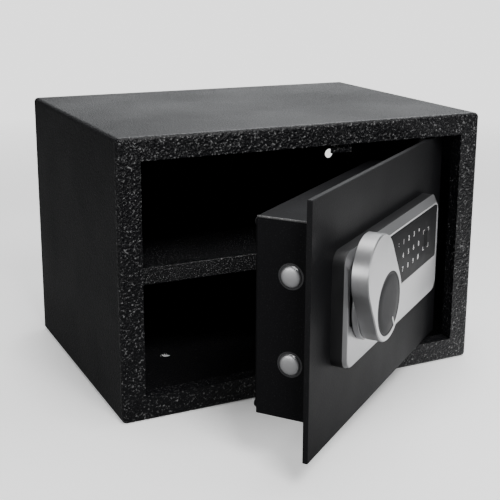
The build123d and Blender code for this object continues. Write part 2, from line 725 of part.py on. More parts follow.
def battery_lid():
    """Lid of the battery tray, hinged along its edge nearest the lock side."""
    y0 = BOX_BACK + 0.2
    lid = block(
        TRAY_X - 0.5, TRAY_X + TRAY_L + 0.5, y0, y0 + 1.4, TRAY_Z - 0.5, TRAY_Z + TRAY_H + 0.5
    )
    lid = fillet(lid.edges().filter_by(Axis.Y), 2.0)
    y = FRONT + LID_PIN_Y
    low = TRAY_Z + 4.2
    high = TRAY_Z + TRAY_H - 4.2
    lid += block(LID_PIN_X, TRAY_X + 4, y - 1.6, y - 0.2, low, high)
    lid += rod("z", LID_PIN_X, y, low, high, LID_BARREL_D)
    lid += rod("z", LID_PIN_X, y, low - 2, high + 2, LID_PIN_D)
    for z in (TRAY_Z + 22, TRAY_Z + 30, TRAY_Z + 38):
        lid += block(
            TRAY_X + TRAY_L - 11, TRAY_X + TRAY_L - 3, y0 + 1.4, y0 + 2.0, z, z + 2
        )
    return lid


def main_board():
    """Lock controller board on the back of the plate."""
    y0 = PLATE_BACK + 5
    board = block(10, 92, y0, y0 + 1.6, 54, 86)
    for x, z in ((14, 58), (88, 58), (14, 82), (88, 82)):
        board += rod("y", x, z, PLATE_BACK, y0, 5.0)
    return board


def board_parts():
    """Controller chip, driver, sockets and capacitor."""
    y0 = PLATE_BACK + 6.6
    chip = block(40, 54, y0, y0 + 1.6, 62, 72)
    driver = block(62, 68, y0, y0 + 2.4, 60, 70)
    header = block(24, 38, y0, y0 + 6, 76, 82)
    power = block(74, 84, y0, y0 + 6, 76, 82)
    coil = block(12, 20, y0, y0 + 6, 60, 66)
    can = rod("y", 60, 78, y0, y0 + 11, 6.3)
    return group([chip, driver, header, power, coil, can])


def buzzer():
    """Round piezo buzzer on the controller board."""
    y0 = PLATE_BACK + 6.6
    body = rod("y", 80, 63, y0, y0 + 8, 12.0)
    return body - rod("y", 80, 63, y0 + 6, y0 + 9, 2.0)


def reset_switch():
    """Push switch behind the reset button."""
    return block(-26, -14, BOX_BACK - 9, BOX_BACK - 5.2, 94, 106)


def reset_bracket():
    """Angle that carries the reset switch from the door plate."""
    leg = block(-14, -12.5, PLATE_BACK, BOX_BACK - 6, 94, 106)
    foot = block(-14, -4, PLATE_BACK, PLATE_BACK + 1.5, 94, 106)
    return leg + foot + block(-26, -12.5, BOX_BACK - 10.5, BOX_BACK - 9, 94, 106)


def reset_button():
    """Small button pressed to store a new code."""
    stem = rod("y", -20, 100, BOX_BACK - 2.8, BOX_BACK + 3.6, 7.4)
    stem = fillet(stem.edges().group_by(Axis.Y)[-1], 1.0)
    return stem + rod("y", -20, 100, BOX_BACK - 2.8, BOX_BACK - 1.2, 10.0)


def ribbon_cable():
    """Flat cable from the touch board through the plate to the controller."""
    y1 = PLATE_BACK + 12.6
    cable = block(27, 35, FRONT - 5.0, y1 + 1, 130.4, 131.4)
    cable += block(27, 35, y1, y1 + 1, 76.5, 131.4)
    return fillet(cable.edges().filter_by(Axis.X).sort_by(Axis.Z)[-1:], 0.9)


def lead(points):
    """A round lead with easy bends along a list of points."""
    path = FilletPolyline(*points, radius=4.0)
    section = Plane(origin=path @ 0, z_dir=path % 0) * Circle(LEAD_D / 2)
    return sweep(section, path=path)


def battery_lead():
    """Lead from the battery tray to the controller."""
    y0 = PLATE_BACK + 12.6
    return lead([(79, -84, TRAY_Z), (79, -84, 79), (79, y0, 79)])


def solenoid_lead():
    """Lead from the solenoid coil to the controller."""
    y = plunger_y()
    x0 = PLUNGER_X + 7.0
    return lead([(x0, y, 56), (-25, y, 56), (-5, y, 63), (12, y, 63)])


def on_door(part):
    """Swings a part of the shut door open to its resting angle."""
    return part.rotate(Axis((HINGE_X, HINGE_Y, 0), (0, 0, 1)), DOOR_ANGLE)


CABINET = {
    "cabinet_shell": cabinet_shell,
    "front_frame": front_frame,
    "back_panel": back_panel,
    "shelf": shelf,
    "shelf_bracket_left": lambda: shelf_bracket(-1),
    "shelf_bracket_right": lambda: shelf_bracket(1),
    "hinge_lug_upper": lambda: hinge_lug(DOORWAY_HIGH + RETURN_T),
    "hinge_lug_lower": lambda: hinge_lug(DOORWAY_LOW - RETURN_T - LUG_H),
    "hinge_pin_upper": lambda: hinge_pin(PLATE_HIGH - 12, DOORWAY_HIGH + RETURN_T + LUG_H),
    "hinge_pin_lower": lambda: hinge_pin(DOORWAY_LOW - RETURN_T - LUG_H, PLATE_LOW + 12),
    "hinge_washer": hinge_washer,
}

DOOR = {
    "door_plate": door_plate,
    "hinge_knuckle_upper": lambda: knuckle(PLATE_HIGH - KNUCKLE_H),
    "hinge_knuckle_lower": lambda: knuckle(PLATE_LOW + 0.3),
    "door_box": door_box,
    "back_cover": back_cover,
    "cover_screws": cover_screws,
    "bolt_bush_upper": lambda: bolt_bush(BOLT_Z[0]),
    "bolt_bush_lower": lambda: bolt_bush(BOLT_Z[1]),
    "carriage_stud": carriage_stud,
    "stud_ring": stud_ring,
    "panel_base": panel_base,
    "panel_cover": panel_cover,
    "panel_screws": panel_screws,
    "keypad_window": keypad_window,
    "key_marks": key_marks,
    "status_window": status_window,
    "keypad_board": keypad_board,
    "spindle_bush": spindle_bush,
    "knob_body": knob_body,
    "knob_collar": knob_collar,
    "knob_cap": knob_cap,
    "knob_pointer": lambda: tilted(pointer_bar(0.0)),
    "spindle": spindle,
    "crank_lever": crank_lever,
    "crank_pin": crank_pin,
    "spindle_clip": spindle_clip,
    "key_cylinder": key_cylinder,
    "locking_bolt_upper": lambda: locking_bolt(BOLT_Z[0]),
    "locking_bolt_lower": lambda: locking_bolt(BOLT_Z[1]),
    "bolt_screws": bolt_screws,
    "bolt_carriage": bolt_carriage,
    "solenoid_frame": solenoid_frame,
    "solenoid_coil": solenoid_coil,
    "solenoid_plunger": solenoid_plunger,
    "plunger_spring": plunger_spring,
    "battery_tray": battery_tray,
    "battery_cells": battery_cells,
    "battery_contacts": battery_contacts,
    "battery_lid": battery_lid,
    "main_board": main_board,
    "board_parts": board_parts,
    "buzzer": buzzer,
    "reset_switch": reset_switch,
    "reset_bracket": reset_bracket,
    "reset_button": reset_button,
    "ribbon_cable": ribbon_cable,
    "battery_lead": battery_lead,
    "solenoid_lead": solenoid_lead,
}

os.makedirs("parts", exist_ok=True)
for node, build in CABINET.items():
    export_step(build(), f"parts/{node}.step")
for node, build in DOOR.items():
    export_step(on_door(build()), f"parts/{node}.step")
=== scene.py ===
"""Finished look of a small electronic safe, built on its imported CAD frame."""

import json
import math

import bmesh
import bpy
from bpy.props import FloatProperty, FloatVectorProperty, PointerProperty
from mathutils import Matrix, Vector


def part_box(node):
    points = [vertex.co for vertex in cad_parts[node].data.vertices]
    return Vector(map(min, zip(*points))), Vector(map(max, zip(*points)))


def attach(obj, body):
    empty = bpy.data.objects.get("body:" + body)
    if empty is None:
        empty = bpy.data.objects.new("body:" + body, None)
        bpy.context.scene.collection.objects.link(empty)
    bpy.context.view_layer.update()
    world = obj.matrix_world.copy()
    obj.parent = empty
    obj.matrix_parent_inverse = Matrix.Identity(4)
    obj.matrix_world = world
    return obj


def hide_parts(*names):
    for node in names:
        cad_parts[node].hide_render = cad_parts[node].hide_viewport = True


bl_info = {
    "name": "Electronic Safe",
    "version": (1, 0, 0),
    "blender": (4, 5, 0),
    "location": "View3D > Sidebar > Safe",
    "description": "Builds the finished pieces and materials of a small electronic safe",
    "category": "Add Mesh",
}

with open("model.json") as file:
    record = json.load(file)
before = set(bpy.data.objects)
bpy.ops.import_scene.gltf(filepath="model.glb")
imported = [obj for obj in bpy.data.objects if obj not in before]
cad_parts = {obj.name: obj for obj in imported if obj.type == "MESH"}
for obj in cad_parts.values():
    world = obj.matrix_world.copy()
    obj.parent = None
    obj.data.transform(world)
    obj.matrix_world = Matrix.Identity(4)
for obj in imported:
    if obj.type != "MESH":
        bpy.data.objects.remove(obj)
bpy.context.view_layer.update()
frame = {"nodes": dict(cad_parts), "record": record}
JOINTS = {joint["name"]: joint for joint in frame["record"]["behaviour"]["joints"]}

# The door is drawn shut and then swung open with the frame's own hinge.
HINGE = Vector(JOINTS["door_hinge"]["pos_m"])
DOOR_ANGLE = -math.radians(JOINTS["door_hinge"]["range_deg"][0])
SWING = (
    Matrix.Translation(HINGE) @ Matrix.Rotation(DOOR_ANGLE, 4, "Z") @ Matrix.Translation(-HINGE)
)
FACE_UP = Matrix.Rotation(math.radians(90), 4, "X")
KNOB_AXIS = SWING.inverted() @ Vector(JOINTS["knob_turn"]["pos_m"])
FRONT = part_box("front_frame")[0][1]
MERGE = 0.000005


# ---- sizes and colours ----
def length(name, description, default):
    return FloatProperty(name=name, description=description, default=default, unit="LENGTH")


def colour(name, description, default):
    return FloatVectorProperty(
        name=name, description=description, default=default, subtype="COLOR", size=3, min=0, max=1
    )


def share(name, description, default):
    return FloatProperty(
        name=name, description=description, default=default, min=0, max=1, subtype="FACTOR"
    )


class SafePaint(bpy.types.PropertyGroup):
    black: colour("Black", "Powder coat of the cabinet and door", (0.006, 0.006, 0.007))
    silver: colour("Silver", "Lacquer of the lock panel's cover", (0.56, 0.56, 0.57))
    knob: colour("Knob", "Plating of the knob", (0.66, 0.66, 0.67))
    cap: colour("Cap", "Cap in the middle of the knob", (0.026, 0.026, 0.028))
    window: colour("Touch field", "Black field under the keypad marks", (0.006, 0.006, 0.007))
    marks: colour("Marks", "Printed keypad marks", (0.86, 0.86, 0.86))
    bolts: colour("Bolts", "Plating of the locking bolts", (0.70, 0.70, 0.71))
    frame_grain: length("Frame grain", "Width of a ripple in the front frame's paint", 0.0021)
    shell_grain: length("Shell grain", "Width of a ripple in the cabinet's paint", 0.0014)
    door_grain: length("Door grain", "Width of a ripple in the door's paint", 0.0010)
    frame_gloss: share("Frame roughness", "Roughness of the front frame", 0.32)
    seam: length("Seam", "Length of the folded seam on the door box", 0.047)
    box_left: length("Seam X", "Lock side of the door box along the shut door", -0.1324)
    box_mid: length("Seam Y", "Middle of the seam from front to back", -0.0972)
    box_top: length("Seam Z", "Top of the door box", 0.1974)
    door_gloss: share("Door roughness", "Roughness of the door", 0.55)


class SafePanel(bpy.types.PropertyGroup):
    centre_x: length("Centre X", "Middle of the lock panel along the shut door", -0.004)
    centre_z: length("Centre Z", "Height of the lock panel's middle", 0.1272)
    width: length("Width", "Width of the lock panel", 0.222)
    height: length("Height", "Height of the lock panel", 0.0906)
    corner: length("Corner", "Corner radius of the lock panel", 0.011)
    base: length("Base", "Depth of the black base under the cover", 0.0095)
    out: length("Out", "How far the cover's face stands in front of the door", 0.013)
    shoulder: length("Shoulder", "Width of the cover's sloping top edge", 0.007)
    side: length("Side slope", "Width of the slope round the other edges", 0.001)
    field_low: length("Field foot", "Height of the touch field's lower edge", 0.1153)
    rim_top: length("Top rim", "Silver left above the touch field", 0.0022)
    rim_side: length("Side rim", "Silver left beside the touch field", 0.0046)
    key_x: length("First key X", "First key along the shut door", 0.0085)
    key_z: length("First key Z", "Height of the first row of keys", 0.1513)
    key_pitch_x: length("Key pitch X", "Distance between columns of keys", 0.0137)
    key_pitch_z: length("Key pitch Z", "Distance between rows of keys", 0.01185)
    digit: length("Digit", "Height of a printed digit", 0.0043)
    status_x: length("Status X", "Middle of the status window along the shut door", 0.070)
    status_z: length("Status Z", "Height of the status window's middle", 0.1387)
    status_w: length("Status width", "Width of the status window", 0.016)
    status_h: length("Status height", "Height of the status window", 0.018)


class SafeKnob(bpy.types.PropertyGroup):
    out: length("Out", "How far the grip's face stands in front of the door", 0.032)
    thick: length("Thickness", "Thickness of the grip", 0.0136)
    end: length("End radius", "Radius of the grip round its axis", 0.029)
    lobe: length("Lobe radius", "Radius of the grip's lobe", 0.028)
    reach: length("Reach", "Distance from the axis to the lobe's centre", 0.035)
    lean: FloatProperty(
        name="Lean", description="Lean of the lobe towards the lock edge",
        default=math.radians(32), subtype="ANGLE",
    )
    collar: length("Collar radius", "Radius of the collar under the grip", 0.030)
    cap: length("Cap radius", "Radius of the cap", 0.0245)
    edge: length("Edge", "Width of the bright bevels", 0.0008)
    gap: length("Gap", "Clearance between the collar and the panel", 0.0003)


class SafeStage(bpy.types.PropertyGroup):
    floor: colour("Floor", "Colour of the floor", (0.93, 0.93, 0.93))
    key: FloatProperty(name="Key light", description="Power of the key light", default=20, unit="POWER")
    top: FloatProperty(name="Top light", description="Power of the top light", default=22, unit="POWER")
    fill: FloatProperty(name="Fill light", description="Power of the fill light", default=4.5, unit="POWER")
    strip: FloatProperty(
        name="Strip light", description="Power of the low front light", default=1.1, unit="POWER"
    )


# ---- shader helpers ----
def add(tree, kind, inputs=None, **settings):
    """One shader node, with its settings and its unlinked input values."""
    node = tree.nodes.new(kind)
    for key, value in settings.items():
        setattr(node, key, value)
    for key, value in (inputs or {}).items():
        node.inputs[key].default_value = value
    return node


def math_node(tree, operation, a, b, clamp=False):
    """A math node whose two inputs are numbers or sockets."""
    node = add(tree, "ShaderNodeMath", operation=operation, use_clamp=clamp)
    for socket, value in zip(node.inputs, (a, b)):
        if isinstance(value, bpy.types.NodeSocket):
            tree.links.new(value, socket)
        else:
            socket.default_value = value
    return node.outputs[0]


def ramp(tree, value, low, high, to_low=0.0, to_high=1.0):
    """Value stretched from low..high to to_low..to_high, held at both ends."""
    node = add(
        tree, "ShaderNodeMapRange",
        {"From Min": low, "From Max": high, "To Min": to_low, "To Max": to_high},
    )
    tree.links.new(value, node.inputs["Value"])
    return node.outputs[0]


def group_tree(name, inputs, outputs):
    """The named node group, with its input and output nodes if it was made just now."""
    if name in bpy.data.node_groups:
        return bpy.data.node_groups[name], None, None
    tree = bpy.data.node_groups.new(name, "ShaderNodeTree")
    for socket, kind in inputs.items():
        tree.interface.new_socket(socket, in_out="INPUT", socket_type=kind)
    for socket in outputs:
        tree.interface.new_socket(socket, in_out="OUTPUT", socket_type="NodeSocketFloat")
    return tree, tree.nodes.new("NodeGroupInput"), tree.nodes.new("NodeGroupOutput")


def noise(tree, vector, scale, detail=2.0, rough=0.5):
    """Fractal noise on a vector; scale is a number or a socket."""
    node = add(tree, "ShaderNodeTexNoise", {"Detail": detail, "Roughness": rough})
    tree.links.new(vector, node.inputs["Vector"])
    if isinstance(scale, bpy.types.NodeSocket):
        tree.links.new(scale, node.inputs["Scale"])
    else:
        node.inputs["Scale"].default_value = scale
    return node.outputs["Fac"]


def powder_coat():
    """Rippled baked paint: ripple height, spots of painted glint (highlights painted into the colour), and
    slow changes of tone.
    """
    tree, start, end = group_tree(
        "PowderCoat",
        {"Vector": "NodeSocketVector", "Grain": "NodeSocketFloat"},
        ("Height", "PaintedGlint", "Tone"),
    )
    if start is None:
        return tree
    vector = start.outputs["Vector"]
    scale = math_node(tree, "DIVIDE", 1.0, start.outputs["Grain"])
    cells = add(tree, "ShaderNodeTexVoronoi", feature="SMOOTH_F1")
    tree.links.new(vector, cells.inputs["Vector"])
    tree.links.new(scale, cells.inputs["Scale"])
    broad = noise(tree, vector, math_node(tree, "MULTIPLY", scale, 0.7), 3.0, 0.6)
    bumps = math_node(tree, "MULTIPLY", cells.outputs["Distance"], -0.7)
    height = math_node(tree, "ADD", bumps, broad)
    # Painted highlight: a sparse noise picks the spots where the colour is lightened to stand for glints.
    glint_spots = noise(tree, vector, math_node(tree, "MULTIPLY", scale, 1.1), 1.0)
    tree.links.new(height, end.inputs["Height"])
    tree.links.new(ramp(tree, glint_spots, 0.62, 0.74), end.inputs["PaintedGlint"])
    tree.links.new(noise(tree, vector, 11.0, 3.0), end.inputs["Tone"])
    return tree


def brushed_grain():
    """Fine parallel scratches; the vector arrives stretched along them."""
    tree, start, end = group_tree(
        "BrushedGrain", {"Vector": "NodeSocketVector"}, ("Streak", "Height")
    )
    if start is None:
        return tree
    fine = noise(tree, start.outputs["Vector"], 1.0, 4.0, 0.65)
    broad = noise(tree, start.outputs["Vector"], 0.13, 2.0)
    both = math_node(
        tree, "ADD", math_node(tree, "MULTIPLY", fine, 0.7), math_node(tree, "MULTIPLY", broad, 0.3)
    )
    tree.links.new(both, end.inputs["Streak"])
    tree.links.new(fine, end.inputs["Height"])
    return tree


def handling():
    """Soft smears and a little settled dust from use."""
    tree, start, end = group_tree("Handling", {"Vector": "NodeSocketVector"}, ("Smear", "Dust"))
    if start is None:
        return tree
    vector = start.outputs["Vector"]
    smear = ramp(tree, noise(tree, vector, 26.0, 4.0, 0.6), 0.45, 0.75)
    specks = ramp(tree, noise(tree, vector, 900.0, 1.0), 0.70, 0.80)
    tree.links.new(smear, end.inputs["Smear"])
    tree.links.new(specks, end.inputs["Dust"])
    return tree


def new_material(name, base, roughness, metallic=0.0, specular=0.5):
    """A material with its constant values on the shader, and object coordinates ready."""
    material = bpy.data.materials.new(name)
    material.use_nodes = True
    tree = material.node_tree
    shader = tree.nodes["Principled BSDF"]
    shader.inputs["Base Color"].default_value = (*base, 1)
    shader.inputs["Roughness"].default_value = roughness
    shader.inputs["Metallic"].default_value = metallic
    shader.inputs["Specular IOR Level"].default_value = specular
    where = add(tree, "ShaderNodeTexCoord")
    return material, tree, shader, where.outputs["Object"]


def use_group(tree, group, vector, **values):
    """Places a node group and feeds it the vector."""
    node = add(tree, "ShaderNodeGroup", node_tree=group)
    tree.links.new(vector, node.inputs["Vector"])
    for key, value in values.items():
        node.inputs[key].default_value = value
    return node


def tint(tree, shader, mask, low, high):
    """Base colour running from low to high with a mask."""
    mix = add(tree, "ShaderNodeMix", data_type="RGBA")
    mix.inputs["A"].default_value = (*low, 1)
    mix.inputs["B"].default_value = (*high, 1)
    tree.links.new(mask, mix.inputs["Factor"])
    tree.links.new(mix.outputs["Result"], shader.inputs["Base Color"])


def bump(tree, shader, height, depth, strength=1.0):
    """Surface relief of the given depth in metres."""
    node = add(tree, "ShaderNodeBump", {"Strength": strength, "Distance": depth})
    tree.links.new(height, node.inputs["Height"])
    tree.links.new(node.outputs["Normal"], shader.inputs["Normal"])


def turned(tree, vector, scale=(1, 1, 1)):
    """Coordinates squared up to the open door, stretched for a directional pattern."""
    node = add(tree, "ShaderNodeMapping", {"Rotation": (0, 0, -DOOR_ANGLE), "Scale": scale})
    tree.links.new(vector, node.inputs["Vector"])
    return node.outputs["Vector"]


def powder_material(name, base, grain, depth, roughness, painted_glint=0.0, specular=0.3):
    """Black powder coat with the given ripple; the glint amount lightens the base colour on sparse spots as a
    painted highlight, and real dust specks share that mask.
    """
    material, tree, shader, where = new_material(name, base, roughness, specular=specular)
    coat = use_group(tree, powder_coat(), where, Grain=grain)
    wear = use_group(tree, handling(), where)
    # Painted highlight: the colour is raised by the glint amount on glint spots; the same mask also holds
    # real dust specks.
    light = tuple(c + painted_glint for c in base)
    mask = math_node(tree, "MAXIMUM", coat.outputs["PaintedGlint"], wear.outputs["Dust"])
    tint(tree, shader, mask, base, light)
    change = math_node(tree, "SUBTRACT", coat.outputs["Tone"], 0.5)
    rough = math_node(tree, "MULTIPLY_ADD", change, 0.25)
    rough.node.inputs[2].default_value = roughness
    tree.links.new(rough, shader.inputs["Roughness"])
    bump(tree, shader, coat.outputs["Height"], depth)
    return material


def metal_material(name, base, roughness, stretch, relief=0.00002, spread=0.15):
    """Plated or machined metal with a directional grain."""
    material, tree, shader, where = new_material(name, base, roughness, metallic=1.0)
    grain = use_group(tree, brushed_grain(), turned(tree, where, stretch))
    smear = use_group(tree, handling(), where)
    dark = tuple(c * 0.86 for c in base)
    tint(tree, shader, grain.outputs["Streak"], dark, base)
    rough = math_node(tree, "MULTIPLY", grain.outputs["Streak"], spread)
    rough = math_node(tree, "ADD", rough, roughness - spread / 2)
    rough = math_node(tree, "ADD", rough, math_node(tree, "MULTIPLY", smear.outputs["Smear"], 0.05))
    tree.links.new(rough, shader.inputs["Roughness"])
    bump(tree, shader, grain.outputs["Height"], relief)
    return material


def plastic_material(name, base, roughness, grain=0.0005, depth=0.00003, coat=0.0, specular=0.5):
    """Moulded plastic with a fine skin and light handling marks."""
    material, tree, shader, where = new_material(name, base, roughness, specular=specular)
    shader.inputs["Coat Weight"].default_value = coat
    skin = use_group(tree, powder_coat(), where, Grain=grain)
    marks = use_group(tree, handling(), where)
    lighter = tuple(min(1.0, c * 1.12 + 0.004) for c in base)
    tint(tree, shader, marks.outputs["Smear"], base, lighter)
    rough = math_node(tree, "MULTIPLY", marks.outputs["Smear"], 0.10)
    rough = math_node(tree, "ADD", rough, roughness)
    tree.links.new(rough, shader.inputs["Roughness"])
    bump(tree, shader, skin.outputs["Height"], depth)
    return material


# ---- mesh helpers ----
def on_face(x, z, out):
    """Place on the open door for a shape drawn face up: x along it, z up it, out in front."""
    return SWING @ Matrix.Translation((x, FRONT - out, z)) @ FACE_UP


def settle(bm, name, material, body, place=Matrix(), stands_for=(), angle=32):
    """Turns a finished bmesh into a piece that rides on a body of the frame."""
    bmesh.ops.remove_doubles(bm, verts=bm.verts, dist=MERGE)
    bmesh.ops.recalc_face_normals(bm, faces=bm.faces)
    bm.transform(place)
    mesh = bpy.data.meshes.new(name)
    bm.to_mesh(mesh)
    bm.free()
    mesh.shade_smooth()
    mesh.set_sharp_from_angle(angle=math.radians(angle))
    mesh.materials.append(material)
    piece = bpy.data.objects.new(name, mesh)
    bpy.context.scene.collection.objects.link(piece)
    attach(piece, body)
    if stands_for:
        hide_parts(*stands_for)
    return piece


def paint(material, *nodes):
    """Gives CAD nodes their finish."""
    for node in nodes:
        for slot in frame["nodes"][node].material_slots:
            slot.material = material


def soften(bm, edges, width, segments=3):
    """Rounds a set of edges."""
    bmesh.ops.bevel(
        bm, geom=list(edges), offset=width, affect="EDGES", segments=segments, profile=0.5,
        material=-1, clamp_overlap=True,
    )


def at_height(edge, z):
    return all(abs(v.co.z - z) < 1e-6 for v in edge.verts)


def rounded_block(width, height, thick, corner, segments=10):
    """Block centred on the origin in plan, standing on z 0, with round upright corners."""
    bm = bmesh.new()
    bmesh.ops.create_cube(bm, size=1)
    bmesh.ops.translate(bm, verts=bm.verts, vec=(0, 0, 0.5))
    bmesh.ops.scale(bm, verts=bm.verts, vec=(width, height, thick))
    upright = [e for e in bm.edges if abs(e.verts[0].co.z - e.verts[1].co.z) > thick / 2]
    soften(bm, upright, corner, segments)
    return bm


def lathe(profile, steps=96):
    """Closed turned shape from (radius, height) points, ends on the axis."""
    bm = bmesh.new()
    points = [bm.verts.new((r, 0, z)) for r, z in profile]
    edges = [bm.edges.new(pair) for pair in zip(points, points[1:])]
    bmesh.ops.spin(
        bm, geom=points + edges, axis=(0, 0, 1), cent=(0, 0, 0), steps=steps,
        angle=2 * math.pi, use_merge=True,
    )
    bmesh.ops.remove_doubles(bm, verts=bm.verts, dist=MERGE)
    return bm


# ---- cabinet ----
class SAFE_OT_cabinet(bpy.types.Operator):
    """Powder coats the cabinet, its frame and its shelf"""

    bl_idname = "safe.cabinet"
    bl_label = "Cabinet"

    def execute(self, context):
        look = context.scene.safe_paint
        # The glint amounts below paint highlight specks into the coats' base colour, strongest on the front
        # frame and the shelf.
        face = powder_material(
            "HammeredBlack", look.black, look.frame_grain, 0.0014, look.frame_gloss, painted_glint=0.15,
            specular=0.25
        )
        shell = powder_material("CabinetBlack", look.black, look.shell_grain, 0.0007, 0.5, painted_glint=0.04)
        inner = powder_material(
            "InnerBlack", look.black, look.shell_grain, 0.0009, 0.35, painted_glint=0.25, specular=0.5
        )
        steel = metal_material("ZincSteel", (0.55, 0.55, 0.57), 0.35, (300, 300, 60))
        nylon = plastic_material("BearingNylon", (0.05, 0.05, 0.055), 0.5)
        paint(face, "front_frame")
        paint(shell, "cabinet_shell", "back_panel")
        paint(inner, "shelf", "shelf_bracket_left", "shelf_bracket_right")
        paint(inner, "hinge_lug_upper", "hinge_lug_lower")
        paint(steel, "hinge_pin_upper", "hinge_pin_lower")
        paint(nylon, "hinge_washer")
        return {"FINISHED"}


# ---- door ----
class SAFE_OT_door(bpy.types.Operator):
    """Finishes the door plate, its box, its hinge eyes and its inner cover"""

    bl_idname = "safe.door"
    bl_label = "Door"

    def execute(self, context):
        look = context.scene.safe_paint
        # The small glint amounts below paint faint highlight specks into the door and box colour.
        door = powder_material(
            "DoorBlack", look.black, look.door_grain, 0.00012, look.door_gloss, painted_glint=0.012,
            specular=0.2
        )
        box = powder_material(
            "BoxBlack", look.black, look.door_grain, 0.00010, 0.6, painted_glint=0.012, specular=0.1
        )
        screws = metal_material("ScrewSteel", (0.50, 0.50, 0.51), 0.32, (400, 60, 400))
        paint(door, "door_plate", "hinge_knuckle_upper", "hinge_knuckle_lower")
        paint(box, "door_box", "back_cover")
        paint(door, "cover_screws")
        paint(screws, "panel_screws", "carriage_stud", "stud_ring")
        seam = bmesh.new()
        bmesh.ops.create_cone(
            seam, cap_ends=True, segments=12, radius1=0.0009, radius2=0.0009, depth=look.seam
        )
        # Painted highlight: the rod along the box's top fold is light grey with strong painted glint,
        # standing for the light caught by the folded edge.
        seam_highlight = powder_material(
            "SeamPaintedHighlight", (0.10, 0.10, 0.10), look.door_grain, 0.0005, 0.4, painted_glint=0.3
        )
        settle(seam, "box_seam", seam_highlight, "door",
               SWING @ Matrix.Translation((look.box_left, look.box_mid, look.box_top)) @ FACE_UP)
        return {"FINISHED"}


class SAFE_OT_lock_works(bpy.types.Operator):
    """Finishes what the door box and the inner cover hold"""

    bl_idname = "safe.lock_works"
    bl_label = "Lock Works"

    def execute(self, context):
        steel = metal_material("PlatedSteel", (0.55, 0.55, 0.56), 0.34, (300, 300, 300))
        brass = metal_material("TurnedBrass", (0.70, 0.50, 0.22), 0.30, (60, 900, 60))
        nylon = plastic_material("BushNylon", (0.04, 0.04, 0.043), 0.45)
        mould = plastic_material("TrayBlack", (0.018, 0.018, 0.019), 0.5, 0.0007, 0.00005)
        red = plastic_material("ButtonRed", (0.45, 0.02, 0.015), 0.3, coat=0.2)
        board = plastic_material("BoardGreen", (0.01, 0.10, 0.04), 0.35, coat=0.3)
        copper = metal_material("CoilCopper", (0.60, 0.25, 0.12), 0.35, (120, 120, 2500))
        sleeve = plastic_material("CellSleeve", (0.05, 0.06, 0.08), 0.28, coat=0.3)
        lead = plastic_material("LeadRed", (0.30, 0.015, 0.012), 0.45)
        ribbon = plastic_material("RibbonGrey", (0.36, 0.37, 0.39), 0.5)
        paint(steel, "crank_lever", "crank_pin", "spindle_clip", "spindle", "bolt_screws")
        paint(steel, "bolt_carriage", "solenoid_frame", "solenoid_plunger", "reset_bracket")
        paint(steel, "plunger_spring")
        paint(brass, "key_cylinder", "battery_contacts")
        paint(nylon, "bolt_bush_upper", "bolt_bush_lower", "spindle_bush")
        paint(mould, "battery_tray", "battery_lid", "buzzer", "board_parts", "reset_switch")
        paint(red, "reset_button")
        paint(board, "main_board", "keypad_board")
        paint(copper, "solenoid_coil")
        paint(sleeve, "battery_cells")
        paint(lead, "battery_lead", "solenoid_lead")
        paint(ribbon, "ribbon_cable")
        return {"FINISHED"}


# ---- locking bolts ----
class SAFE_OT_bolts(bpy.types.Operator):
    """Turns the two bright locking bolts"""

    bl_idname = "safe.bolts"
    bl_label = "Locking Bolts"

    def execute(self, context):
        look = context.scene.safe_paint
        metal = metal_material("BoltPlate", look.bolts, 0.42, (300, 300, 300), 0.000004, spread=0.08)
        for node in ("locking_bolt_upper", "locking_bolt_lower"):
            low, high = [SWING.inverted() @ Vector(c) for c in self.ends(node)]
            radius = (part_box(node)[1][2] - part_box(node)[0][2]) / 2
            bolt = lathe((
                (0, 0), (0.0030, 0.00010), (0.0050, 0.00028), (0.0065, 0.00052),
                (radius - 0.0012, 0.0009), (radius - 0.0004, 0.0015), (radius, 0.0023),
                (radius, (high - low).length), (0, (high - low).length),
            ))
            place = SWING @ Matrix.Translation(low) @ Matrix.Rotation(math.radians(90), 4, "Y")
            settle(bolt, node + "_turned", metal, "bolts", place, (node,), 40)
        return {"FINISHED"}

    def ends(self, node):
        """Both ends of a bolt's axis, read from its mesh on the open door."""
        back = SWING.inverted()
        along = [(back @ v.co) for v in frame["nodes"][node].data.vertices]
        middle = [sum((min(p[i] for p in along), max(p[i] for p in along))) / 2 for i in (1, 2)]
        return [SWING @ Vector((f(p.x for p in along), *middle)) for f in (min, max)]


